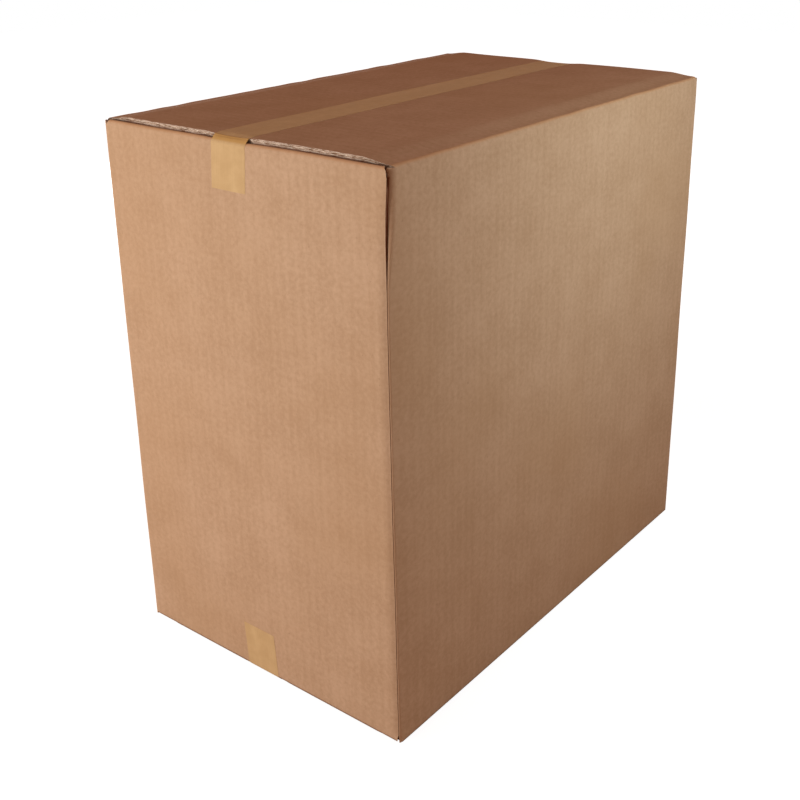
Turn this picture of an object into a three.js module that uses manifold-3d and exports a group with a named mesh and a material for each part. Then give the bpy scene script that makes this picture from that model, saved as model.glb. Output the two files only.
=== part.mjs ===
// A double wall corrugated carton, shut and taped at the top and at the bottom.
// One die-cut blank of board is folded round four vertical creases and glued behind
// the end panel's raw edge. Eight flaps fold over its two ends: the end panels' flaps
// lie inside, the side panels' flaps lie over them and meet at a middle seam, and a
// strip of packing tape closes each seam and runs down both end panels.
// Millimetres, +Z up. X runs across the narrow end panels and Y along the side panels.
// The origin is at the middle of the face that the carton stands on.

import * as THREE from 'three';
import { mergeVertices } from 'three/addons/utils/BufferGeometryUtils.js';
import Module from 'manifold-3d';

const wasm = await Module();
wasm.setup();

// Carton
const cartonWidth = 400;
const cartonLength = 624;
const wallHeight = 629;
const board = 6.6;
const cornerRadius = 6;
const creaseInsideRadius = 1;

// Flaps
const slotWidth = 6.4;
const flapPlay = 1.4;
const seamGap = 5;
const lapGap = 0.3;
const innerFlapDrop = 2;
const foldRadius = 4.5;
const foldLift = 1.2;
const rampLength = 34;
const creaseBoard = 3.6;
const creaseDepth = 9;
const postDrop = 1;

// Layers of the board, counted from its outer face
const linerThickness = 0.5;
const middleLinerThickness = 0.4;
const smallFluteHeight = 2.4;
const channelDepth = 3;
const channelMargin = 4;

// Glued joint behind the end panel's raw edge
const jointBoard = 4.4;
const jointTaper = 10;
const rawEdgeInset = 3;
const tabWidth = 40;
const tabEndCut = 14;
const tabEndSlope = 8;
const glueThickness = 0.3;
const glueMargin = 4;

// Packing tape
const tapeWidth = 48;
const tapeThickness = 0.3;
const tapeClearance = 0.3;
const tapeOffset = -5.5;
const tapeLean = 0.07;
const topTabLength = 51;
const bottomTabLength = 58;
const tapeLift = 3;

// Steps along curves, the run of joined and cutting solids past a face, and what counts as one point
const foldSteps = 5;
const rampSteps = 6;
const overrun = 1;
const samePoint = 1e-4;

// Heights of the two crease rings and of the outer faces of the shut flaps
const flapStack = lapGap + board - innerFlapDrop;
const bottomFace = tapeThickness;
const bottomCrease = bottomFace + flapStack;
const topCrease = bottomCrease + wallHeight;

// Half sizes in plan
const halfWidth = cartonWidth / 2;
const halfLength = cartonLength / 2;
const outerFlapSetback = (board + slotWidth) / 2;
const innerFlapSetback = board + flapPlay;
const flapReach = halfWidth - seamGap / 2;
const rootDepth = creaseDepth + overrun;

const UP = new THREE.Vector3(0, 0, 1);
const DOWN = new THREE.Vector3(0, 0, -1);
const RIGHT = new THREE.Vector3(1, 0, 0);
const LEFT = new THREE.Vector3(-1, 0, 0);
const BACK = new THREE.Vector3(0, 1, 0);
const FRONT = new THREE.Vector3(0, -1, 0);

// Turns a closed geometry into a solid that can be joined and cut.
function toSolid(geometry) {
  const bare = geometry.clone();
  bare.deleteAttribute('normal');
  bare.deleteAttribute('uv');
  const merged = mergeVertices(bare, samePoint);
  return new wasm.Manifold(new wasm.Mesh({
    numProp: 3,
    vertProperties: new Float32Array(merged.attributes.position.array),
    triVerts: new Uint32Array(merged.index.array),
  }));
}

// Turns a solid back into a geometry with flat faces.
function toGeometry(solid) {
  const mesh = solid.getMesh();
  const geometry = new THREE.BufferGeometry();
  geometry.setAttribute('position', new THREE.BufferAttribute(mesh.vertProperties, 3));
  geometry.setIndex(new THREE.BufferAttribute(mesh.triVerts, 1));
  const faceted = geometry.toNonIndexed();
  faceted.computeVertexNormals();
  return faceted;
}

// A box between two corners.
function block(low, high) {
  const size = high.map((value, axis) => value - low[axis]);
  const geometry = new THREE.BoxGeometry(...size);
  geometry.translate(...low.map((value, axis) => value + size[axis] / 2));
  return toSolid(geometry);
}

// An outline in plan, extruded from one height to another.
function plate(outline, low, high) {
  const geometry = new THREE.ExtrudeGeometry(outline, {
    depth: high - low,
    bevelEnabled: false,
    curveSegments: foldSteps,
  });
  geometry.translate(0, 0, low);
  return toSolid(geometry);
}

// A section drawn as [inward from the panel's face, outward past the crease], carried
// along the crease: `inward` and `outward` are its directions, `start` a point on the crease.
function alongCrease(points, inward, outward, start, halfSpan) {
  const shape = new THREE.Shape(points.map(([u, v]) => new THREE.Vector2(u, v)));
  const geometry = new THREE.ExtrudeGeometry(shape, { depth: 2 * halfSpan, bevelEnabled: false });
  const along = new THREE.Vector3().crossVectors(inward, outward);
  const matrix = new THREE.Matrix4().makeBasis(inward, outward, along);
  matrix.setPosition(start.clone().addScaledVector(along, -halfSpan));
  geometry.applyMatrix4(matrix);
  return toSolid(geometry);
}

// Points on an arc about a centre, from one angle to another.
function arcPoints(centreU, centreV, radius, from, to, steps) {
  return Array.from({ length: steps + 1 }, (_, index) => {
    const angle = from + (to - from) * index / steps;
    return [centreU + radius * Math.cos(angle), centreV + radius * Math.sin(angle)];
  });
}

const smoothStep = (value) => value * value * (3 - 2 * value);

// How far an outer flap has climbed from its fold to its level part, from 0 to 1.
function climb(u) {
  return smoothStep(THREE.MathUtils.clamp((u - foldRadius) / rampLength, 0, 1));
}

const outerFlapTop = (u) => foldLift + (flapStack - foldLift) * climb(u);
const outerFlapThickness = (u) => creaseBoard + (board - creaseBoard) * climb(u);

// A line through the outer flap's thickness, at a share of it below its outer face.
const outerFlapLayer = (u, share) => outerFlapTop(u) - share * outerFlapThickness(u);

// The places along the climb where a layer has its points.
const rampPlaces = Array.from({ length: rampSteps + 1 }, (_, index) => (
  foldRadius + rampLength * index / rampSteps
));

// Section of a side panel's flap: round fold, crushed crease, climb over the inner flap, level part.
function outerFlapSection() {
  const fold = arcPoints(foldRadius, foldLift - foldRadius, foldRadius, Math.PI, Math.PI / 2, foldSteps);
  const top = rampPlaces.slice(1).map((u) => [u, outerFlapTop(u)]);
  const under = rampPlaces.slice().reverse().map((u) => [u, outerFlapLayer(u, 1)]);
  return [
    [0, -rootDepth],
    ...fold,
    ...top,
    [flapReach, flapStack],
    [flapReach, flapStack - board],
    ...under,
    [creaseBoard, foldLift - creaseBoard],
    [board, -creaseDepth],
    [board, -rootDepth],
  ].reverse();
}

// Section of an end panel's flap: round fold that stands as a ridge, crushed crease, level part.
function innerFlapSection() {
  const fold = arcPoints(foldRadius, -foldRadius, foldRadius, Math.PI, Math.PI / 2, foldSteps);
  return [
    [0, -rootDepth],
    ...fold,
    [outerFlapSetback - lapGap, -innerFlapDrop],
    [flapReach, -innerFlapDrop],
    [flapReach, -innerFlapDrop - board],
    [board + foldRadius, -innerFlapDrop - board],
    [creaseBoard, -creaseBoard],
    [board, -creaseDepth],
    [board, -rootDepth],
  ].reverse();
}

// The two open channels between the board's liners, as shares of its thickness.
const channels = (() => {
  const first = linerThickness;
  const second = first + smallFluteHeight;
  const third = second + middleLinerThickness;
  return [[first, second], [third, board - linerThickness]]
    .map((pair) => pair.map((depth) => depth / board));
})();

// Section of one channel in a side panel's flap, between two shares of its thickness.
function outerChannelSection([near, far]) {
  const places = [...rampPlaces, flapReach - channelMargin];
  return [
    ...places.map((u) => [u, outerFlapLayer(u, far)]),
    ...places.slice().reverse().map((u) => [u, outerFlapLayer(u, near)]),
  ];
}

// Cuts the open channels into both raw ends of a side panel's flap.
function outerChannels(inward, outward, start, halfSpan) {
  const along = new THREE.Vector3().crossVectors(inward, outward);
  return channels.flatMap((pair) => [-1, 1].map((end) => {
    const middle = start.clone().addScaledVector(along, end * halfSpan);
    return alongCrease(outerChannelSection(pair), inward, outward, middle, channelDepth);
  }));
}

// Cuts the open channels into both raw sides of an end panel's flap.
function innerChannels(inward, outward, start, halfSpan) {
  const along = new THREE.Vector3().crossVectors(inward, outward);
  const begin = board + foldRadius + channelMargin;
  const stop = flapReach - channelMargin;
  return channels.flatMap(([near, far]) => [-1, 1].map((end) => {
    const middle = start.clone().addScaledVector(along, end * halfSpan);
    const low = -innerFlapDrop - far * board;
    const high = -innerFlapDrop - near * board;
    const section = [[begin, low], [stop, low], [stop, high], [begin, high]];
    return alongCrease(section, inward, outward, middle, channelDepth);
  }));
}

// What the outer flaps' folds press out of the inner flaps' sides, for one end of the carton.
function foldPress(inward, outward, start) {
  const under = rampPlaces.map((u) => [u, outerFlapLayer(u, 1) - lapGap]);
  const points = [
    [-board, foldLift - creaseBoard - lapGap],
    [creaseBoard, foldLift - creaseBoard - lapGap],
    ...under,
    [foldRadius + rampLength, board],
    [-board, board],
  ];
  return alongCrease(points, inward, outward, start, halfLength + board);
}

const tabFace = -halfLength + jointBoard + glueThickness;

// The four panels and the glue tab in plan: one strip of board, open at the glued joint.
function wallOutline() {
  const w = halfWidth;
  const l = halfLength;
  const r = cornerRadius;
  const q = creaseInsideRadius;
  const tabEnd = w - tabWidth;
  const thickUntil = tabEnd - jointTaper - glueMargin;
  const shape = new THREE.Shape();
  shape.moveTo(w - rawEdgeInset, -l);
  shape.lineTo(w - rawEdgeInset, -l + jointBoard);
  shape.lineTo(thickUntil + jointTaper, -l + jointBoard);
  shape.lineTo(thickUntil, -l + board);
  shape.lineTo(-w + board + q, -l + board);
  shape.absarc(-w + board + q, -l + board + q, q, -Math.PI / 2, -Math.PI, true);
  shape.lineTo(-w + board, l - board - q);
  shape.absarc(-w + board + q, l - board - q, q, Math.PI, Math.PI / 2, true);
  shape.lineTo(w - board - q, l - board);
  shape.absarc(w - board - q, l - board - q, q, Math.PI / 2, 0, true);
  shape.lineTo(w - board, tabFace + jointBoard + q);
  shape.absarc(w - board - q, tabFace + jointBoard + q, q, 0, -Math.PI / 2, true);
  shape.lineTo(tabEnd, tabFace + jointBoard);
  shape.lineTo(tabEnd, tabFace);
  shape.lineTo(w - r, tabFace);
  shape.absarc(w - r, tabFace + r, r, -Math.PI / 2, 0, false);
  shape.lineTo(w, l - r);
  shape.absarc(w - r, l - r, r, 0, Math.PI / 2, false);
  shape.lineTo(-w + r, l);
  shape.absarc(-w + r, l - r, r, Math.PI / 2, Math.PI, false);
  shape.lineTo(-w, -l + r);
  shape.absarc(-w + r, -l + r, r, Math.PI, 1.5 * Math.PI, false);
  shape.closePath();
  return shape;
}

// The slanted cut at each end of the glue tab, as a prism that takes the waste away.
function tabEndWaste(outward, crease) {
  const points = [
    [rawEdgeInset, -tabEndCut],
    [tabWidth + glueMargin, -tabEndCut - tabEndSlope],
    [tabWidth + glueMargin, board],
    [rawEdgeInset, board],
  ];
  const halfSpan = jointBoard / 2 + overrun;
  const middle = new THREE.Vector3(halfWidth - board, tabFace + halfSpan, crease);
  return alongCrease(points, LEFT, outward, middle, halfSpan);
}

// The open channels in the raw vertical edges of the glued joint: the end panel's and the tab's.
function jointChannels() {
  const low = bottomCrease + tabEndCut + tabEndSlope;
  const high = topCrease - tabEndCut - tabEndSlope;
  const panelEdge = halfWidth - rawEdgeInset;
  const tabEdge = halfWidth - tabWidth;
  const places = [
    [panelEdge - channelDepth, panelEdge + overrun, -halfLength],
    [tabEdge - overrun, tabEdge + channelDepth, tabFace],
  ];
  return places.flatMap(([left, right, face]) => channels.map(([near, far]) => block(
    [left, face + near * jointBoard, low],
    [right, face + far * jointBoard, high],
  )));
}

// The whole folded blank.
function makeCarton() {
  const ends = [
    { outward: UP, crease: topCrease },
    { outward: DOWN, crease: bottomCrease },
  ];
  let carton = plate(wallOutline(), bottomCrease + postDrop, topCrease - postDrop);
  for (const { outward, crease } of ends) {
    carton = carton.subtract(tabEndWaste(outward, crease));
    const sides = [
      { inward: LEFT, start: new THREE.Vector3(halfWidth, 0, crease) },
      { inward: RIGHT, start: new THREE.Vector3(-halfWidth, 0, crease) },
    ];
    const fronts = [
      { inward: BACK, start: new THREE.Vector3(0, -halfLength, crease) },
      { inward: FRONT, start: new THREE.Vector3(0, halfLength, crease) },
    ];
    const opening = [
      [-overrun, -creaseDepth],
      [board, -creaseDepth],
      [board, board],
      [-overrun, board],
    ];
    for (const { inward, start } of fronts) {
      const halfSpan = halfWidth - innerFlapSetback;
      let flap = alongCrease(innerFlapSection(), inward, outward, start, halfSpan);
      for (const channel of innerChannels(inward, outward, start, halfSpan)) {
        flap = flap.subtract(channel);
      }
      for (const side of sides) {
        flap = flap.subtract(foldPress(side.inward, outward, side.start));
      }
      carton = carton.subtract(alongCrease(opening, inward, outward, start, halfSpan)).add(flap);
    }
    for (const { inward, start } of sides) {
      const halfSpan = halfLength - outerFlapSetback;
      let flap = alongCrease(outerFlapSection(), inward, outward, start, halfSpan);
      for (const channel of outerChannels(inward, outward, start, halfSpan)) {
        flap = flap.subtract(channel);
      }
      carton = carton.subtract(alongCrease(opening, inward, outward, start, halfSpan)).add(flap);
    }
  }
  for (const channel of jointChannels()) {
    carton = carton.subtract(channel);
  }
  return toGeometry(carton);
}

// The film of glue between the tab and the back of the end panel.
function makeJointGlue() {
  const margin = tabEndCut + tabEndSlope + glueMargin;
  const low = [halfWidth - tabWidth + glueMargin, tabFace - glueThickness, bottomCrease + margin];
  const high = [halfWidth - cornerRadius - glueMargin, tabFace, topCrease - margin];
  return toGeometry(block(low, high));
}

// One side of the tape's path in the plane of Y and the height past the crease, from the
// middle of the seam to the tab's end: level, over the flaps' raw end, round the end
// panel's fold and down its face. `offset` is 0 on the glued side and the thickness outside.
function tapePath(offset, tabLength) {
  const flapEnd = halfLength - outerFlapSetback;
  const foldCentre = new THREE.Vector2(halfLength - foldRadius, -foldRadius);
  const edge = new THREE.Vector2(flapEnd + tapeClearance, flapStack);
  const gap = edge.clone().sub(foldCentre);
  const reach = foldRadius + tapeClearance;
  const turn = gap.angle() - Math.acos(reach / gap.length());
  const round = arcPoints(foldCentre.x, foldCentre.y, reach + offset, turn, 0, foldSteps);
  const bendAngle = Math.PI / 4 + turn / 2;
  const bend = offset / Math.cos(Math.PI / 4 - turn / 2);
  return [
    [0, flapStack + offset],
    [edge.x + bend * Math.cos(bendAngle), edge.y + bend * Math.sin(bendAngle)],
    ...round,
    [halfLength + offset, -foldRadius - tapeLift],
    [halfLength + offset, -tabLength],
  ];
}

// One strip of tape over a seam, with a tab down each end panel that leans a little.
function makeTape(outward, crease, tabLength) {
  const inside = tapePath(0, tabLength);
  const outside = tapePath(tapeThickness, tabLength);
  const mirrored = (path) => path.slice(1).reverse().map(([y, v]) => [-y, v]);
  const points = [...mirrored(outside), ...outside, ...inside.slice().reverse()];
  points.push(...mirrored(inside).reverse());
  const shape = new THREE.Shape(points.map(([y, v]) => new THREE.Vector2(y, v)));
  const geometry = new THREE.ExtrudeGeometry(shape, { depth: tapeWidth, bevelEnabled: false });
  const along = new THREE.Vector3().crossVectors(BACK, outward);
  const matrix = new THREE.Matrix4().makeBasis(BACK, outward, along);
  const middle = new THREE.Vector3(tapeOffset, 0, crease);
  matrix.setPosition(middle.addScaledVector(along, -tapeWidth / 2));
  geometry.applyMatrix4(matrix);
  const position = geometry.attributes.position;
  for (let index = 0; index < position.count; index += 1) {
    const below = (crease - position.getZ(index)) * outward.z;
    const lean = below > foldRadius + tapeLift ? tapeLean * (below - foldRadius - tapeLift) : 0;
    position.setX(index, position.getX(index) - lean);
  }
  return toGeometry(toSolid(geometry));
}

const kraftBoard = new THREE.MeshStandardMaterial({ color: 0xb48c66, roughness: 0.85, metalness: 0 });
const driedGlue = new THREE.MeshStandardMaterial({ color: 0xd9cfae, roughness: 0.5, metalness: 0 });
const topTapeFilm = new THREE.MeshStandardMaterial({ color: 0xc49a5e, roughness: 0.4, metalness: 0 });
const bottomTapeFilm = new THREE.MeshStandardMaterial({ color: 0xc49a5e, roughness: 0.4, metalness: 0 });

function named(name, geometry, material) {
  const mesh = new THREE.Mesh(geometry, material);
  mesh.name = name;
  return mesh;
}

const box = new THREE.Group();
box.add(named('carton', makeCarton(), kraftBoard));
box.add(named('joint_glue', makeJointGlue(), driedGlue));
box.add(named('top_tape', makeTape(UP, topCrease, topTabLength), topTapeFilm));
box.add(named('bottom_tape', makeTape(DOWN, bottomCrease, bottomTabLength), bottomTapeFilm));

export default box;
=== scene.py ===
import math

import bpy
import numpy as np
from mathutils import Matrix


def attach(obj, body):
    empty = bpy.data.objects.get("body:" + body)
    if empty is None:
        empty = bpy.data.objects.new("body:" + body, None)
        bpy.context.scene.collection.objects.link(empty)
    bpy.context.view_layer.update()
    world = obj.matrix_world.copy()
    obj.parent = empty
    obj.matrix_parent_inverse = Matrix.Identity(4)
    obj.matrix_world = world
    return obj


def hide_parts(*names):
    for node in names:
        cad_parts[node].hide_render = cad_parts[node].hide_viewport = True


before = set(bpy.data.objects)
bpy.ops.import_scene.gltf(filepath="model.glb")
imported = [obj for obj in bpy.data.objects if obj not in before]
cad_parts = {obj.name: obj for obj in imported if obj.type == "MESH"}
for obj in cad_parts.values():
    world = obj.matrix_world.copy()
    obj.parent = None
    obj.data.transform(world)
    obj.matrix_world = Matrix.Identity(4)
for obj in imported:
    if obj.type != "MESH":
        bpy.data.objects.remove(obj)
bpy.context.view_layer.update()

# Camera: the photograph's viewpoint, in front of the near corner and above the carton, fitted
# to the carton's seven visible corners. Its shift is smaller than the photograph's, so that
# the other views keep the whole carton in the picture.
camera_lens = bpy.data.cameras.new("camera")
camera_lens.sensor_width = 36
camera_lens.lens = 51.84
camera_lens.shift_x = -0.0235
camera_lens.shift_y = -0.1
camera = bpy.data.objects.new("camera", camera_lens)
camera.location = (0.8345, -1.0781, 0.8659)
camera.rotation_euler = (1.21073, 0.01033, 0.66297)
bpy.context.scene.collection.objects.link(camera)
bpy.context.scene.camera = camera

# Carton: one die-cut blank of double wall kraft board, folded round four upright creases and
# glued behind the end panel's raw edge. The end panels' flaps lie inside, the side panels'
# flaps over them, and their raw ends show three liners with two open layers of flutes.

# sizes in metres: the board, the folds, the flaps and slots, the glued joint, how far the
# packed carton has settled, and how finely the mesh is divided
half_width, half_length, wall_height = 0.200, 0.312, 0.629
board, joint_board, crease_board = 0.0066, 0.0044, 0.0036
bottom_crease = 0.0052
top_crease = bottom_crease + wall_height
corner_radius, fold_radius, fold_lift, ramp_length = 0.006, 0.0045, 0.0012, 0.034
flap_rise, inner_drop, flap_reach = 0.0049, 0.002, 0.1975
outer_setback, inner_setback, lap_gap = 0.0065, 0.008, 0.0003
lap_start, lap_run = 0.0050, 0.0012
root_depth, crease_depth, post_drop, post_step = 0.010, 0.009, 0.001, 0.006
tab_face, tab_width, tab_end_cut, tab_end_slope = -0.3073, 0.040, 0.014, 0.008
raw_edge_inset, tight_fold, joint_bulge, edge_crush = 0.003, 0.0022, 0.0032, 0.0018
joint_open_start, joint_open_length = 0.13, 0.11
joint_clearance, tab_clearance = 0.0005, 0.0004
taper_start, taper_length = 0.146, 0.010
edge_reach, pull_reach, raw_edge_reach, crush_width = 0.008, 0.015, 0.006, 0.005
side_bow, end_bow, side_waver, end_waver = 0.0016, 0.0011, 0.0004, 0.0003
fold_waver, flap_waver, flap_edge_waver = 0.0003, 0.0004, 0.0003
seam_middle, seam_sag, seam_reach = -0.0055, 0.0007, 0.045
tape_press, press_reach = 0.0016, 0.027
column_pitch, fold_columns, fold_rows, flap_steps, wall_steps = 0.0100, 8, 8, 31, 61


def spread(start, stop, step):
    """Places from start to stop: close together near both ends, then about a step apart."""
    span = abs(stop - start)
    near = np.array([0.0, 0.0016, 0.004, 0.008, 0.014])
    middle = np.linspace(near[-1], span - near[-1], int((span - 2 * near[-1]) / step) + 2)[1:-1]
    places = np.concatenate([near, middle, span - near[::-1]])
    return start + places * np.sign(stop - start)


def waves(a, b, reach, seed):
    """Soft waves of height about 1 over two coordinates: the sum of six sines that run in six
    directions, with lengths from half the reach to twice the reach."""
    total = np.zeros(np.broadcast(a, b).shape)
    for index in range(6):
        angle = seed * 1.7 + index * 2.4
        turns = 2 * math.pi / (reach * (0.5 + 1.5 * ((index * 0.618 + seed * 0.37) % 1)))
        total = total + np.sin((a * math.cos(angle) + b * math.sin(angle)) * turns + angle * 5.1)
    return total / 3


def smooth(value):
    """A step from 0 to 1 with level ends: 3 v squared less 2 v cubed, v kept between 0 and 1."""
    value = np.clip(value, 0, 1)
    return value * value * (3 - 2 * value)


def settle(points):
    """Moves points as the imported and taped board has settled: the panels bow outwards by a
    cosine across and a sine up, the folds and flaps waver, and the tape pulls the flaps down
    along the seam and presses their raw ends down."""
    x, y, z = np.moveaxis(points, -1, 0)

    # where each effect starts or ends, and the length over which it comes in or fades
    side_start, end_start, panel_blend, fold_zone = 0.18, 0.29, 0.012, 0.03
    side_span, end_span = 0.64, 0.42
    top_start, top_blend, flap_inside, flap_blend = 0.012, 0.010, 0.196, 0.03
    press_start, press_blend, press_stop, press_fade = 0.2955, 0.010, 0.3085, 0.0025
    crease_zone, crease_blend = 0.004, 0.006

    belly = np.sin(np.pi * np.clip((z - bottom_crease) / wall_height, 0, 1))
    side = smooth((np.abs(x) - side_start) / panel_blend)
    end = smooth((np.abs(y) - end_start) / panel_blend)
    side_out = side_bow * np.cos(np.pi * y / side_span) + side_waver * waves(y, z, 0.2, 1)
    end_out = end_bow * np.cos(np.pi * x / end_span) + end_waver * waves(x, z, 0.16, 2)
    fold = side * smooth((fold_zone - np.abs(z - top_crease)) / fold_zone)
    dx = np.sign(x) * (side * belly * side_out + fold * fold_waver * (waves(y, 0 * y, 0.05, 3) - 1))
    dy = np.sign(y) * end * belly * end_out
    top = smooth((z - top_crease + top_start) / top_blend)
    inside = smooth((flap_inside - np.abs(x)) / flap_blend)
    from_seam = x - seam_middle
    sag = seam_sag * np.exp(-(from_seam / seam_reach) ** 2)
    level = flap_waver * waves(x, y, 0.22, 4) * inside - sag
    level = level + flap_edge_waver * waves(0 * y, y, 0.045, 5) * (1 - inside)
    raw_end = smooth((np.abs(y) - press_start) / press_blend)
    raw_end = raw_end * smooth((press_stop - np.abs(y)) / press_fade)
    press = tape_press * np.exp(-(from_seam / press_reach) ** 4) * raw_end
    on_bottom = smooth((bottom_crease + crease_zone - z) / crease_blend)
    on_top = smooth((z - top_crease + crease_zone) / crease_blend)
    return points + np.stack([dx, dy, top * level + press * (on_bottom - on_top)], -1)


def sheet_columns():
    """The blank's outer line in plan, from the glue tab round to the end panel's raw edge, as
    one row of columns: straight runs, and quarter circles at the four folds. Each column has
    its place, its outward direction and the number of its panel, -1 on a fold, -2 on the tab."""
    r, w, l = corner_radius, half_width, half_length
    runs = [
        ("tab", np.linspace(w - tab_width, w - r, 5)),
        ("arc", (w - r, tab_face + r, -90)),
        (0, spread(tab_face + r, l - r, column_pitch)),
        ("arc", (w - r, l - r, 0)),
        (1, spread(w - r, -w + r, column_pitch)),
        ("arc", (-w + r, l - r, 90)),
        (2, spread(l - r, -l + r, column_pitch)),
        ("arc", (-w + r, -l + r, 180)),
        (3, spread(-w + r, w - raw_edge_inset, column_pitch)),
    ]
    places, normals, panels = [], [], []
    for kind, value in runs:
        if kind == "arc":
            turn = np.radians(value[2] + np.linspace(0, 90, fold_columns)[1:-1])
            out = np.stack([np.cos(turn), np.sin(turn)], -1)
            places.append(np.array(value[:2]) + r * out)
            panel = -1
        else:
            turn = math.radians({"tab": -90, 0: 0, 1: 90, 2: 180, 3: 270}[kind])
            out = np.tile([math.cos(turn), math.sin(turn)], (len(value), 1))
            face = {"tab": tab_face, 0: w, 1: l, 2: -w, 3: -l}[kind]
            other = np.full_like(value, face)
            across = kind in (0, 2)
            places.append(np.stack([other, value] if across else [value, other], -1))
            panel = -2 if kind == "tab" else kind
        normals.append(out)
        panels.append(np.full(len(out), panel))
    return np.concatenate(places), np.concatenate(normals), np.concatenate(panels)


def flap_section(outer):
    """One flap's outer and inner lines, as distance inwards from the panel's face and height
    past the crease: a quarter circle, then for an outer flap a smooth climb to its level part,
    and for an inner flap a short drop behind its ridge. The board is thinner at the crease."""
    foot, drop_lead, flat_from = -0.0075, 0.0004, 0.0385
    turn = np.radians(np.linspace(180, 90, fold_rows))
    lift = fold_lift if outer else 0.0
    arc_u = fold_radius + fold_radius * np.cos(turn)
    arc_v = lift - fold_radius + fold_radius * np.sin(turn)
    if outer:
        level = flap_reach - fold_radius - ramp_length
        run = np.concatenate([np.linspace(0, ramp_length, 11)[1:],
                              ramp_length + level * np.linspace(0, 1, flap_steps)[1:]])
        u = fold_radius + run
        climb = smooth(run / ramp_length)
        v = fold_lift + (flap_rise - fold_lift) * climb
        under = v - crease_board - (board - crease_board) * climb
    else:
        begin = outer_setback - lap_gap
        u = np.concatenate([[0.0053, begin, 0.0075, board + fold_radius],
                            [0.014, 0.018, 0.023, 0.028, 0.033, flat_from],
                            np.linspace(flat_from, flap_reach, flap_steps)[1:]])
        v = -inner_drop * smooth((u - fold_radius + drop_lead) / (begin - fold_radius))
        under = np.interp(u, [crease_board, board + fold_radius],
                          [-crease_board, -inner_drop - board])
    low = lift - crease_board
    down_back = np.linspace(0, 1, fold_rows + 1)
    back_u = np.interp(down_back, [0, 0.75, 1], [board, crease_board, fold_radius])
    back_v = np.interp(down_back, [0, 0.75, 1], [-crease_depth, low, low])
    line = np.stack([np.concatenate([[0.0], arc_u, u]), np.concatenate([[foot], arc_v, v])], -1)
    back = np.stack([np.concatenate([back_u, u]), np.concatenate([back_v, under])], -1)
    return line, back


places, normals, panels = sheet_columns()
wall_rows = np.linspace(bottom_crease + root_depth, top_crease - root_depth, wall_steps)
sections = [flap_section(panel % 2 == 0) for panel in range(4)]
flap_rows = len(sections[0][0])
row_count, column_count = len(wall_rows) + 2 * flap_rows, len(places)
first_wall, last_wall = flap_rows, flap_rows + len(wall_rows) - 1
low_corner, high_corner = first_wall - 2, last_wall + 2
thickness = np.full(column_count, board)
thickness[panels == -2] = joint_board
joint_fold = (panels == -1) & (places[:, 0] > 0) & (places[:, 1] < 0)
thickness[joint_fold] = np.linspace(joint_board, board, joint_fold.sum() + 2)[1:-1]
joint_strip = panels == 3
taper = smooth((places[joint_strip, 0] - taper_start) / taper_length)
thickness[joint_strip] = board + (joint_board - board) * taper

# the walls: at the joint the side panel's fold bulges forward against the end panel's raw
# edge, which stands back from the corner and is a little crushed; near the top both open
under_top = top_crease - wall_rows
opened = smooth((joint_open_start - under_top) / joint_open_length)[:, None]
inset = np.interp(under_top, [0.0, 0.012, 0.04, 0.07, 0.24, 0.40, 0.52, wall_height],
                  [0.0030, 0.0036, 0.0058, 0.0070, 0.0070, 0.0058, 0.0048, 0.0036])[:, None]
tight = 1 - opened
bulge = joint_bulge * tight
fold_deep = tight_fold * tight + corner_radius * opened
fold_wide = (inset - joint_clearance) * tight + corner_radius * opened
pulled = (fold_wide - tight_fold) * tight
turn = np.radians(np.linspace(-90, 0, joint_fold.sum() + 2)[1:-1])
first_side, tab = panels == 0, panels == -2
from_fold = places[first_side, 1] - tab_face - corner_radius
to_fold = half_width - corner_radius - places[tab, 0]
to_edge = half_width - raw_edge_inset - places[joint_strip, 0]
walls = np.repeat(places[None], len(wall_rows), 0)
walls[:, joint_fold, 0] = half_width - fold_wide + (fold_wide - pulled) * np.cos(turn)
walls[:, joint_fold, 1] = tab_face - bulge + fold_deep * (1 + np.sin(turn))
walls[:, first_side, 0] -= pulled * np.exp(-from_fold / pull_reach)
walls[:, first_side, 1] -= (corner_radius - fold_deep + bulge) * np.exp(-from_fold / edge_reach)
tab_stretch = corner_radius - fold_wide - tab_clearance * tight
walls[:, tab, 0] += tab_stretch * np.exp(-to_fold / edge_reach)
walls[:, joint_strip, 0] += (raw_edge_inset - inset) * np.exp(-to_edge / raw_edge_reach)
backs = walls - normals * thickness[:, None]
past_edge = walls[:, joint_strip, 0] - half_width + inset
walls[:, joint_strip, 1] += edge_crush * smooth(past_edge / crush_width + 1) * (1 - 0.6 * opened)
heights = np.repeat(wall_rows[:, None, None], column_count, 1)
outer_skin = np.zeros((row_count, column_count, 3))
inner_skin = np.zeros((row_count, column_count, 3))
outer_skin[first_wall:last_wall + 1] = np.concatenate([walls, heights], 2)
inner_skin[first_wall:last_wall + 1] = np.concatenate([backs, heights], 2)

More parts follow.
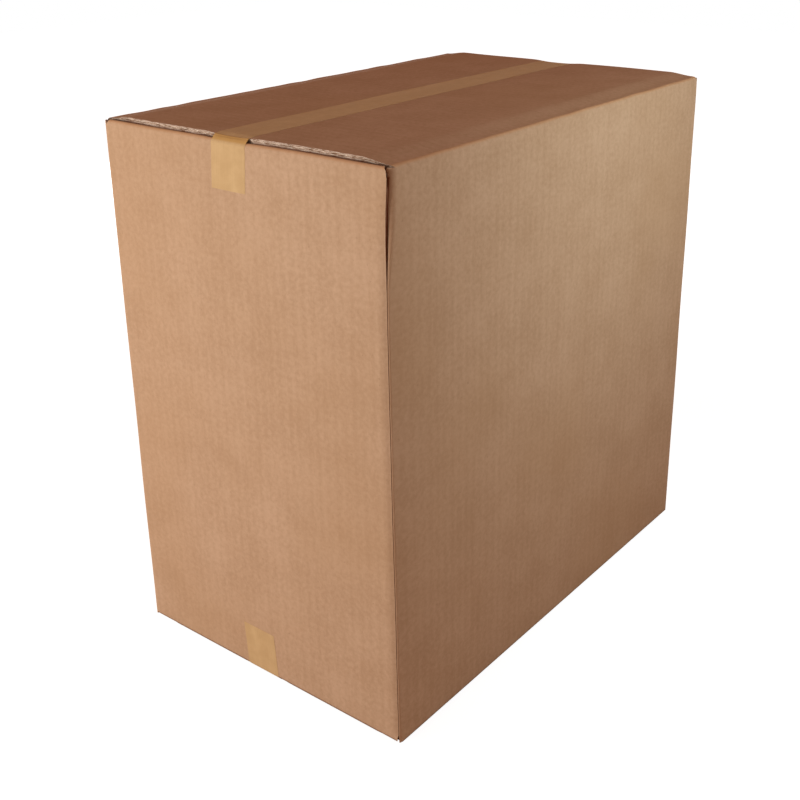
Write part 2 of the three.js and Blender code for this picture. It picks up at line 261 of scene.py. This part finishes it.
# the flaps carry on from the panels, each along its own crease, and narrow to their slots
slot_shift = smooth(np.linspace(-1 / (fold_rows - 1), 1, fold_rows + 1))
slot_shift = np.concatenate([slot_shift, np.ones(flap_rows - fold_rows - 1)])[:, None]
for panel in range(4):
    columns = np.flatnonzero(panels == panel)
    along_axis = 1 - panel % 2
    outside = panel % 2 == 0
    reach = half_length - outer_setback if outside else half_width - inner_setback
    face = places[columns[0], 1 - along_axis]
    for way, first_row in ((1, last_wall), (-1, first_wall)):
        for skin, section in zip((outer_skin, inner_skin), sections[panel]):
            along = outer_skin[first_row, columns, along_axis]
            shift = np.zeros(len(columns))
            for end in (along[0], along[-1]):
                shift += (np.sign(end) * reach - end) * np.exp(-np.abs(along - end) / edge_reach)
            flap_along = along + shift * slot_shift
            past = np.repeat(section[:, 1:], len(columns), 1)
            if not outside:
                from_side = np.clip(half_width - np.abs(flap_along), fold_radius, None)
                climb = smooth((from_side - fold_radius) / ramp_length)
                lowest = fold_lift - crease_board
                under = lowest + (flap_rise - board - lowest) * climb
                pressed = np.clip(-inner_drop - (under - lap_gap), 0, None)
                past = past - pressed * smooth((section[:, :1] - lap_start) / lap_run)
            inward = np.sign(face) * (np.abs(face) - section[:, :1])
            across = np.repeat(inward, len(columns), 1)
            plan = [across, flap_along] if outside else [flap_along, across]
            if way > 0:
                skin[last_wall + 1:, columns] = np.stack(plan + [top_crease + past], -1)
            else:
                skin[:first_wall, columns] = np.stack(plan + [bottom_crease - past], -1)[::-1]

# the posts between the slots stand a little proud of the folds beside them, and the tab's
# ends are cut back and aslant
bare = panels < 0
tab_share = to_fold / tab_width
tab_cut = tab_end_cut * np.clip(tab_share * 8, 0, 1) + tab_end_slope * tab_share
middle = (bottom_crease + top_crease) / 2
for skin in (outer_skin, inner_skin):
    for post_row, wall_row, crease, way in ((low_corner, first_wall, bottom_crease, -1),
                                            (high_corner, last_wall, top_crease, 1)):
        for row, drop in ((post_row, post_drop), (post_row - way, post_step)):
            skin[row, bare, :2] = skin[wall_row, bare, :2]
            skin[row, bare, 2] = crease - way * drop
    skin[:, tab, 2] = middle + (skin[:, tab, 2] - middle) * (1 - 2 * tab_cut / wall_height)


def closed_sheet(outer, inner, cells, edge_depth, profile):
    """Vertices, faces, the faces' kinds (0 outer, 1 inner, 2 rim) and the rim points' shares
    of the thickness, for a board. Outer and inner are grids of points, cells says which of
    their squares exist. Where a square has no neighbour a rim runs from the outer to the inner
    point of its edge: each of its lines lies at a share of the thickness, moved into the board
    by edge_depth times the profile's depth."""
    rows, columns = outer.shape[:2]
    number = np.arange(rows * columns).reshape(rows, columns)
    padded = np.pad(cells, 1)
    edges = []
    for kind, (row_step, column_step) in enumerate(((-1, 0), (0, 1), (1, 0), (0, -1))):
        beside = padded[1 + row_step:rows + row_step, 1 + column_step:columns + column_step]
        alone = cells & ~beside
        row, column = np.nonzero(alone)
        corners = [(row, column), (row, column + 1), (row + 1, column + 1), (row + 1, column)]
        a, b = corners[kind], corners[(kind + 1) % 4]
        behind_a, behind_b = corners[(kind + 3) % 4], corners[(kind + 2) % 4]
        edges.append([number[a], number[b], number[behind_a], number[behind_b],
                      np.full(len(row), kind)])
    a, b, behind_a, behind_b, kind = (np.concatenate(group) for group in zip(*edges))
    flat_outer, flat_inner = outer.reshape(-1, 3), inner.reshape(-1, 3)
    into = np.zeros_like(flat_outer)
    np.add.at(into, a, flat_outer[behind_a] - flat_outer[a])
    np.add.at(into, b, flat_outer[behind_b] - flat_outer[b])
    rim = np.unique(np.concatenate([a, b]))
    raw = np.zeros(len(flat_outer))
    side = (kind == 1) | (kind == 3)
    np.add.at(raw, a, side / 2)
    np.add.at(raw, b, side / 2)
    into = into[rim] / np.linalg.norm(into[rim], axis=1)[:, None]
    depth = edge_depth(flat_outer[rim], raw[rim] > 0.9)
    levels = len(profile)
    share, deep = np.array(profile).T
    start, stop = flat_outer[rim], flat_inner[rim]
    lines = start[:, None] + (stop - start)[:, None] * share[None, :, None]
    lines = lines + into[:, None] * depth[:, None, None] * deep[None, :, None]
    grid_size = rows * columns
    ids = np.full((grid_size, levels), -1)
    ids[rim, 0] = rim
    ids[rim, -1] = rim + grid_size
    ids[rim, 1:-1] = 2 * grid_size + np.arange(len(rim) * (levels - 2)).reshape(len(rim), -1)
    vertices = np.concatenate([flat_outer, flat_inner, lines[:, 1:-1].reshape(-1, 3)])
    row, column = np.nonzero(cells)
    quads = np.stack([number[row, column], number[row, column + 1],
                      number[row + 1, column + 1], number[row + 1, column]], -1)
    rims = np.stack([ids[b, :-1], ids[a, :-1], ids[a, 1:], ids[b, 1:]], -1)
    faces = np.concatenate([quads, quads[:, ::-1] + grid_size, rims.reshape(-1, 4)])
    kinds = np.repeat([0, 1, 2], [len(quads), len(quads), rims.shape[0] * rims.shape[1]])
    layer = np.zeros(len(vertices))
    layer[ids[rim]] = share
    return vertices, faces, kinds, layer


def make_mesh(name, vertices, faces, kinds, sheet_place, layer, creased):
    """A mesh object from arrays. Points that no face uses are left out. Its map holds, on the
    board's faces, each point's place on the flat blank, and on raw edges the way along the
    edge and the share of the thickness. Edges that turn by more than the creased angle, in
    degrees, are sharp."""
    used, compact = np.unique(faces, return_inverse=True)
    compact = compact.reshape(faces.shape)
    mesh = bpy.data.meshes.new(name)
    mesh.vertices.add(len(used))
    mesh.vertices.foreach_set("co", vertices[used].astype(np.float32).ravel())
    mesh.loops.add(compact.size)
    mesh.loops.foreach_set("vertex_index", compact.astype(np.int32).ravel())
    mesh.polygons.add(len(compact))
    mesh.polygons.foreach_set("loop_start", np.arange(0, compact.size, 4, dtype=np.int32))
    place = sheet_place[faces]
    on_rim = kinds == 2
    place[on_rim, :, 0] = place[on_rim].sum(-1)
    place[on_rim, :, 1] = layer[faces[on_rim]]
    flat_map = mesh.uv_layers.new(name="blank")
    flat_map.data.foreach_set("uv", place.astype(np.float32).ravel())
    mesh.polygons.foreach_set("material_index", on_rim.astype(np.int32))
    mesh.update()
    mesh.validate()
    mesh.shade_smooth()
    mesh.set_sharp_from_angle(angle=math.radians(creased))
    made = bpy.data.objects.new(name, mesh)
    bpy.context.scene.collection.objects.link(made)
    return made


cells = np.zeros((row_count - 1, column_count - 1), bool)
cells[low_corner:high_corner] = True
for panel in range(4):
    columns = np.flatnonzero(panels == panel)
    cells[:, columns[0]:columns[-1]] = True
girth = np.concatenate([[0], np.cumsum(np.linalg.norm(np.diff(places, axis=0), axis=1))])
flap_line = np.vstack([[[0, -root_depth]], sections[0][0]])
flap_run = np.linalg.norm(np.diff(flap_line, axis=0), axis=1).cumsum()
up_sheet = np.concatenate([wall_rows[0] - flap_run[::-1], wall_rows, wall_rows[-1] + flap_run])
blank_grid = np.stack(np.broadcast_arrays(girth[None, :], up_sheet[:, None]), -1).reshape(-1, 2)

# a raw edge as shares of the thickness and of the depth: liner, flutes, liner, flutes, liner
raw_profile = [(0, 0), (0.075, 0.06), (0.13, 0.75), (0.40, 1.0), (0.44, 0.15), (0.50, 0.2),
               (0.55, 0.9), (0.89, 1.1), (0.93, 0.2), (1, 0)]


def raw_depth(points, raw):
    """How deep the open flutes show: 1 to 3 mm where the cut runs along them, less where the
    cut crushed them, and next to nothing where it crosses them or in the pressed joint."""
    x, y, z = points.T
    wall_margin, in_joint, crossed = 0.015, 0.0003, 0.00012
    in_wall = (z > bottom_crease + wall_margin) & (z < top_crease - wall_margin)
    near_corner = smooth((np.abs(x) - 0.13) / 0.05)
    ragged = 0.0013 + 0.0006 * waves(x + y, z, 0.03, 6) + 0.0018 * near_corner
    return np.where(raw, np.where(in_wall, in_joint, np.clip(ragged, 0.0004, 0.003)), crossed)


vertices, faces, kinds, layer = closed_sheet(
    settle(outer_skin), settle(inner_skin), cells, raw_depth, raw_profile)
rim_faces = faces[kinds == 2]
rim_ids = np.unique(rim_faces[rim_faces < len(blank_grid)])
rim_place = np.repeat(blank_grid[rim_ids], len(raw_profile) - 2, 0)
sheet_place = np.concatenate([blank_grid, blank_grid, rim_place])
carton = make_mesh("carton_board", vertices, faces, kinds, sheet_place, layer, creased=32)


class Value:
    """The output of a node in a finish. Arithmetic on it adds Math nodes."""

    def __init__(self, finish, socket):
        self.finish = finish
        self.socket = socket

    def maths(self, operation, *values):
        """One Math node over the values."""
        return self.finish.node("Math", {"operation": operation}, dict(enumerate(values)))

    def beside(self, output):
        """Another output of the same node."""
        return Value(self.finish, self.socket.node.outputs[output])

    def __add__(self, other):
        return self.maths("ADD", self, other)

    def __radd__(self, other):
        return self.maths("ADD", other, self)

    def __sub__(self, other):
        return self.maths("SUBTRACT", self, other)

    def __rsub__(self, other):
        return self.maths("SUBTRACT", other, self)

    def __mul__(self, other):
        return self.maths("MULTIPLY", self, other)

    def __rmul__(self, other):
        return self.maths("MULTIPLY", other, self)

    def __abs__(self):
        return self.maths("ABSOLUTE", self)


class Finish:
    """The nodes of a material or of the surround, and its first shader. node() adds one node:
    its type, its settings, which are set first, and the values or links of its sockets."""

    def __init__(self, owner, shader="Principled BSDF"):
        owner.use_nodes = True
        self.owner = owner
        self.tree = owner.node_tree
        self.shader = self.tree.nodes[shader]

    def fill(self, node, inputs):
        """Sets or links the inputs of a node, each by its name or number."""
        for key, value in inputs.items():
            if isinstance(value, Value):
                self.tree.links.new(value.socket, node.inputs[key])
            else:
                node.inputs[key].default_value = value

    def node(self, kind, settings, inputs, output=0):
        """Adds one node and gives one of its outputs, by name or number."""
        made = self.tree.nodes.new("ShaderNode" + kind)
        for key, value in settings.items():
            setattr(made, key, value)
        self.fill(made, inputs)
        return Value(self, made.outputs[output])

    def blend(self, factor, first, second):
        """The first colour where the factor is 0, the second where it is 1. A colour Mix node
        has them at sockets 6 and 7, and its result at 2."""
        return self.node("Mix", {"data_type": "RGBA"}, {0: factor, 6: first, 7: second}, 2)

    def noise(self, vector, scale, detail=2.0, roughness=0.5):
        """Noise kept between 0 and 1, its middle at a half."""
        return self.node("TexNoise", {}, {"Vector": vector, "Scale": scale, "Detail": detail,
                                          "Roughness": roughness})

    def stretch(self, vector, across, along):
        """The same places with each way multiplied, so that noise there runs in streaks."""
        return self.node("Mapping", {}, {"Vector": vector, "Scale": (across, along, 1.0)})

    def ramp(self, value, low, high):
        """0 below low, 1 above high and a smooth step between."""
        return self.node("MapRange", {"interpolation_type": "SMOOTHSTEP"},
                         {"Value": value, "From Min": low, "From Max": high})

    def bump(self, height, strength, distance):
        """The surface's direction, tilted as if it rose by the height times the distance."""
        return self.node("Bump", {}, {"Height": height, "Strength": strength, "Distance": distance})

    def blank(self):
        """The place on the flat blank or along the strip, from the piece's own map."""
        return self.node("UVMap", {"uv_map": "blank"}, {})


def tone(red, green, blue):
    """A colour given as seen on a screen, 0 to 255 each, as the renderer's linear colour."""
    seen = np.array([red, green, blue]) / 255
    linear = np.where(seen <= 0.04045, seen / 12.92, ((seen + 0.055) / 1.055) ** 2.4)
    return (*linear, 1.0)


def kraft_face():
    """Brown kraft liner: soft mottling, fibres that lie along the flutes, faint washboard
    lines over the flutes, a few specks, a painted warm highlight along the top creases and a
    painted darker shade along the bottom creases."""
    finish = Finish(bpy.data.materials.new("kraft_face"))
    flat = finish.blank()
    cloudy = finish.noise(flat, 16.0, 4.0, 0.6)
    mottle = finish.noise(flat, 210.0, 3.0, 0.6)
    fibres = finish.noise(finish.stretch(flat, 420.0, 90.0), 1.0, 3.0, 0.6)
    grain = finish.noise(flat, 900.0, 2.0)
    streaks = finish.noise(finish.stretch(flat, 170.0, 6.0), 1.0, 3.0, 0.55)
    flutes = finish.node("TexWave", {"bands_direction": "X"},
                         {"Vector": flat, "Scale": 25.0, "Distortion": 0.6, "Detail": 1.0,
                          "Detail Scale": 3.0})
    patches = finish.noise(flat, 3.2, 3.0)
    shade = 0.30 * cloudy + 0.34 * mottle + 0.12 * fibres
    shade = shade + 0.12 * grain + 0.09 * streaks + 0.03 * flutes
    colour = finish.blend(finish.ramp(shade, 0.36, 0.64), tone(187, 153, 121), tone(204, 171, 140))
    colour = finish.blend(0.3 * finish.ramp(patches, 0.42, 0.66), colour, tone(187, 150, 112))
    specks = finish.ramp(finish.noise(flat, 260.0, 1.0), 0.71, 0.79)
    colour = finish.blend(0.2 * specks, colour, tone(130, 94, 64))
    up_blank = finish.node("SeparateXYZ", {}, {"Vector": flat}, "Y")
    # painted highlight: a warmer, lighter line along the top creases, where the folds catch the
    # light
    painted_fold_highlight = 0.4 - 0.4 * finish.ramp(abs(up_blank - (top_crease + 0.0015)), 0.0006, 0.0034)
    colour = finish.blend(painted_fold_highlight, colour, tone(214, 160, 108))
    # painted shade: a darker line along the bottom creases, for the shadow under the folds
    painted_crease_shade = 0.6 - 0.6 * finish.ramp(abs(up_blank - (bottom_crease - 0.0005)), 0.0015, 0.0050)
    colour = finish.blend(painted_crease_shade, colour, tone(112, 70, 46))
    height = 0.30 * fibres + 0.3 * grain + 0.10 * flutes + 0.14 * streaks + 0.12 * mottle
    finish.fill(finish.shader, {"Base Color": colour, "Roughness": 0.86 + 0.1 * fibres,
                                "Normal": finish.bump(height, 0.13, 0.0004),
                                "Specular IOR Level": 0.02})
    return finish.owner


def kraft_raw_edge():
    """Cut board: pale torn liners and brown fluting paper in streaks along the cut, darker
    towards the inner liner, and mostly brown below the top crease, as in the crushed joint."""
    finish = Finish(bpy.data.materials.new("kraft_raw_edge"))
    flat = finish.blank()
    share = finish.node("SeparateXYZ", {}, {"Vector": flat}, "Y")
    torn = finish.noise(finish.stretch(flat, 110.0, 8.0), 1.0, 4.0, 0.7)
    crumbs = finish.noise(finish.stretch(flat, 480.0, 7.0), 1.0, 3.0, 0.7)
    paper = finish.blend(finish.ramp(crumbs, 0.35, 0.65), tone(190, 164, 140), tone(238, 222, 204))
    colour = finish.blend(finish.ramp(torn, 0.38, 0.56), tone(124, 86, 60), paper)
    inner_share = finish.ramp(finish.ramp(share, 0.0, 1.0), 0.45, 1.0)
    colour = finish.blend(0.75 * inner_share, colour, tone(112, 66, 40))
    place = finish.node("TexCoord", {}, {}, "Object")
    up = finish.node("SeparateXYZ", {}, {"Vector": place}, "Z")
    lower = 1 - finish.ramp(up, top_crease - 0.012, top_crease - 0.002)
    colour = finish.blend(0.85 * lower, colour, tone(124, 76, 48))
    finish.fill(finish.shader, {"Base Color": colour, "Roughness": 0.95,
                                "Normal": finish.bump(crumbs + torn, 0.6, 0.0006),
                                "Specular IOR Level": 0.02})
    return finish.owner


carton.data.materials.append(kraft_face())
carton.data.materials.append(kraft_raw_edge())
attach(carton, "root")
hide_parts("carton")

# Packing tape: two strips of buff film, one along the top seam and one along the bottom seam.
# Each is stuck down by hand, bends over the flaps' raw ends and runs on down both end panels.
tape_width, tape_thickness, tape_clear, bend_radius = 0.048, 0.00014, 0.00006, 0.0012
front_lean, top_back_lean, bottom_back_lean, lean_start = 0.07, -0.02, 0.03, 0.0075
top_tab, bottom_tab = 0.051, 0.058
seam_dip, seam_width, dip_end, dip_blend = 0.0002, 0.0016, 0.309, 0.02
free_start, free_full, free_fade, free_stop = 0.3035, 0.3055, 0.3110, 0.3140


def ring(turn):
    """Points of a circle of radius 1: the cosine and the sine of each turn."""
    return np.stack([np.cos(turn), np.sin(turn)], -1)


def tape_line(offset, tab_length):
    """Half of a strip seen from the side, from the middle of the seam to the tab's end, as
    distance from the middle and height past the crease: level, a small round over the raw end,
    the line that touches this round and the end panel's fold, the fold's round, and down. The
    line is moved outwards by the offset along its own normal."""
    rise, face = flap_rise + tape_clear, half_length + tape_clear
    near_end, end_gap = 0.290, 0.0005
    end = half_length - outer_setback - end_gap
    run = np.concatenate([np.linspace(0, near_end, 30), np.linspace(near_end, end, 12)[1:]])
    level = np.stack([run, np.full_like(run, rise)], -1)
    small, large = bend_radius, fold_radius + tape_clear
    first = np.array([end, rise - small])
    second = np.array([half_length - fold_radius, -fold_radius])
    away = second - first
    slant = math.atan2(away[1], away[0]) + math.acos((small - large) / math.hypot(*away))
    over = first + small * ring(np.linspace(math.pi / 2, slant, 6)[1:])
    round_down = second + large * ring(np.linspace(slant, 0, 8))
    span = over[-1] + (round_down[0] - over[-1]) * np.linspace(0, 1, 6)[1:-1, None]
    tab_top = round_down[-1, 1]
    down = tab_top - np.linspace(0, 1, 12)[1:] * (tab_length + tab_top)
    tab_run = np.stack([np.full_like(down, face), down], -1)
    line = np.concatenate([level, over, span, round_down, tab_run])
    step = np.gradient(line, axis=0)
    step = step / np.linalg.norm(step, axis=1)[:, None]
    return line + offset * np.stack([-step[:, 1], step[:, 0]], -1)


def clean_cut(points, raw):
    """The depth of a tape's cut edge: none anywhere."""
    return np.zeros(len(points))


def tape_strip(name, crease, way, tab_length, back_lean):
    """A strip of tape: the side line carried across the tape's width, mirrored for the far
    end. The tabs lean by a share of their height, the seam shows as a slight dip, and the
    whole follows the settled board. Its map holds the places across and the distance from
    the strip's middle."""
    across = np.concatenate([[-0.5, -0.49], np.linspace(-0.46, 0.46, 19), [0.49, 0.5]]) * tape_width
    skins = []
    for offset in (tape_thickness, 0.0):
        half = tape_line(offset, tab_length)
        line = np.concatenate([(half * (-1, 1))[::-1], half[1:]])
        y = np.repeat(line[:, :1], len(across), 1)
        past = np.repeat(line[:, 1:], len(across), 1)
        below = np.clip(-past - lean_start, 0, None)
        x = seam_middle + across - np.where(y < 0, front_lean, back_lean) * below
        on_seam = np.exp(-(x / seam_width) ** 2) * smooth((dip_end - np.abs(y)) / dip_blend)
        past = past - seam_dip * on_seam
        skins.append(settle(np.stack([x, y, crease + way * past], -1)))
    if way < 0:
        skins = [skin[:, ::-1] for skin in skins]
    outer, inner = [skin[::-1] for skin in skins]
    cells = np.ones((outer.shape[0] - 1, outer.shape[1] - 1), bool)
    vertices, faces, kinds, layer = closed_sheet(outer, inner, cells, clean_cut, [(0, 0), (1, 0)])
    steps = np.diff(outer[:, 0], axis=0, prepend=outer[:1, 0])
    length_run = np.cumsum(np.linalg.norm(steps, axis=1))
    from_middle = np.abs(length_run - length_run[-1] / 2)
    place = np.stack(np.broadcast_arrays(across, from_middle[:, None]), -1).reshape(-1, 2)
    place = np.concatenate([place, place])
    return make_mesh(name, vertices, faces, np.zeros_like(kinds), place, layer, creased=50)


def tape_film():
    """Buff packing tape: a thin film over tan glue, with faint lines along it from the roll,
    cloudy places where the glue holds more or less air, and a more golden band where it hangs
    free over the raw ends."""
    finish = Finish(bpy.data.materials.new("tape_film"))
    flat = finish.blank()
    lines = finish.noise(finish.stretch(flat, 700.0, 6.0), 1.0, 2.0)
    clouds = finish.noise(flat, 70.0, 4.0, 0.6)
    wide = finish.noise(finish.stretch(flat, 40.0, 8.0), 1.0, 2.0)
    shade = 0.4 * clouds + 0.35 * wide + 0.25 * lines
    colour = finish.blend(finish.ramp(shade, 0.38, 0.66), tone(201, 167, 120), tone(212, 180, 132))
    run = finish.node("SeparateXYZ", {}, {"Vector": flat}, "Y")
    free = finish.ramp(run, free_start, free_full) * (1 - finish.ramp(run, free_fade, free_stop))
    colour = finish.blend(0.65 * free, colour, tone(190, 142, 70))
    finish.fill(finish.shader, {"Base Color": colour, "Roughness": 0.56 + 0.14 * clouds,
                                "Normal": finish.bump(clouds + 0.5 * lines, 0.12, 0.0003),
                                "Specular IOR Level": 0.025})
    return finish.owner


film = tape_film()
top_strip = tape_strip("top_tape_strip", top_crease, 1, top_tab, top_back_lean)
bottom_strip = tape_strip("bottom_tape_strip", bottom_crease, -1, bottom_tab, bottom_back_lean)
for strip, node in ((top_strip, "top_tape"), (bottom_strip, "bottom_tape")):
    strip.data.materials.append(film)
    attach(strip, "root")
    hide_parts(node)

# Glue: a pale film of dried glue, streaked by the roller, that holds the tab behind the end
# panel. It is out of sight in the closed joint, so its plain solid is kept.
glue = Finish(bpy.data.materials.new("dried_glue"))
glue_place = glue.node("TexCoord", {}, {}, "Object")
streaky = glue.noise(glue.node("Mapping", {}, {"Vector": glue_place, "Scale": (60.0, 60.0, 9.0)}),
                     1.0, 3.0)
glue.fill(glue.shader, {
    "Base Color": glue.blend(glue.ramp(streaky, 0.3, 0.7), tone(212, 200, 168), tone(232, 224, 200)),
    "Roughness": 0.4 + 0.2 * streaky,
    "Normal": glue.bump(streaky, 0.3, 0.0004)})
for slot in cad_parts["joint_glue"].material_slots:
    slot.material = glue.owner

# Stage: a plain white floor and surround, which give a warmer and weaker light to the carton
# than the eye sees. Soft lamps stand on the left, in front, on the right, low and behind.
floor_size, floor_drop = 12.0, 0.0003
shadow_inner, shadow_outer = 0.6, 1.6


def white_for_the_eye(finish, other, end):
    """Mixes two shaders into the end node: the camera, gloss and clear materials see the
    finish's own shader, and all other rays get the other one."""
    camera_ray = finish.node("LightPath", {}, {}, "Is Camera Ray")
    seen = camera_ray.maths("MAXIMUM", camera_ray, camera_ray.beside("Is Glossy Ray"))
    seen = seen.maths("MAXIMUM", seen, camera_ray.beside("Is Transmission Ray"))
    own = Value(finish, finish.shader.outputs[0])
    finish.fill(finish.tree.nodes[end], {"Surface": finish.node("MixShader", {}, {
        0: seen, 1: other, 2: own})})


side = np.linspace(-floor_size / 2, floor_size / 2, 2)
floor_points = np.stack([*np.meshgrid(side, side), np.full((2, 2), -floor_drop)], -1)
floor_mesh = bpy.data.meshes.new("floor")
floor_mesh.from_pydata(floor_points.reshape(-1, 3).tolist(), [], [(0, 1, 3, 2)])
floor = bpy.data.objects.new("floor", floor_mesh)
bpy.context.scene.collection.objects.link(floor)
floor_finish = Finish(bpy.data.materials.new("pale_floor"))
from_carton = floor_finish.node("VectorMath", {"operation": "LENGTH"}, {
    0: floor_finish.node("TexCoord", {}, {}, "Object")}, "Value")
glow = floor_finish.blend(floor_finish.ramp(from_carton, shadow_inner, shadow_outer),
                          (0.88, 0.88, 0.88, 1), (1, 1, 1, 1))
floor_finish.fill(floor_finish.shader, {"Base Color": (0.4, 0.4, 0.4, 1), "Roughness": 0.9,
                                        "Specular IOR Level": 0.0, "Emission Color": glow,
                                        "Emission Strength": 1.0})
dull = floor_finish.node("BsdfDiffuse", {}, {"Color": (0.42, 0.30, 0.22, 1)})
white_for_the_eye(floor_finish, dull, "Material Output")
floor_mesh.materials.append(floor_finish.owner)

surround = bpy.data.worlds.new("surround")
bpy.context.scene.world = surround
sky = Finish(surround, "Background")
sky.fill(sky.shader, {"Color": (1, 1, 1, 1)})
sky_light = sky.node("Background", {}, {"Color": (0.54, 0.245, 0.158, 1), "Strength": 0.5})
white_for_the_eye(sky, sky_light, "World Output")


def lamp(name, place, target, size, power, colour):
    """A soft rectangular lamp at a place, turned to its target. The camera doesn't see it."""
    data = bpy.data.lights.new(name, "AREA")
    data.shape = "RECTANGLE"
    data.size, data.size_y = size
    data.energy = power
    data.color = colour
    made = bpy.data.objects.new(name, data)
    bpy.context.scene.collection.objects.link(made)
    made.location = place
    towards = np.array(target) - np.array(place)
    flat = math.hypot(towards[0], towards[1])
    made.rotation_euler = (math.atan2(flat, -towards[2]), 0, math.atan2(-towards[0], towards[1]))
    made.visible_camera = False


lamp("left_lamp", (-1.1, -2.0, 0.76), (0, -0.31, 0.42), (1.0, 1.0), 35, (1.0, 0.98, 0.97))
lamp("front_lamp", (0.1, -0.95, 0.70), (0, -0.31, 0.55), (0.4, 0.3), 0.6, (0.6, 0.95, 1.0))
lamp("right_lamp", (0.80, 0.14, 0.74), (0.2, 0.14, 0.5), (0.35, 0.3), 3.3, (0.78, 0.96, 1.0))
lamp("low_lamp", (2.2, -0.6, 0.4), (0.2, -0.1, 0.3), (1.0, 0.4), 2, (1.0, 0.78, 0.68))
lamp("back_lamp", (-2.0, 1.8, 0.40), (0, 0, 0.35), (1.2, 0.4), 32, (1.0, 0.99, 0.98))

bpy.context.scene.view_settings.view_transform = "Standard"
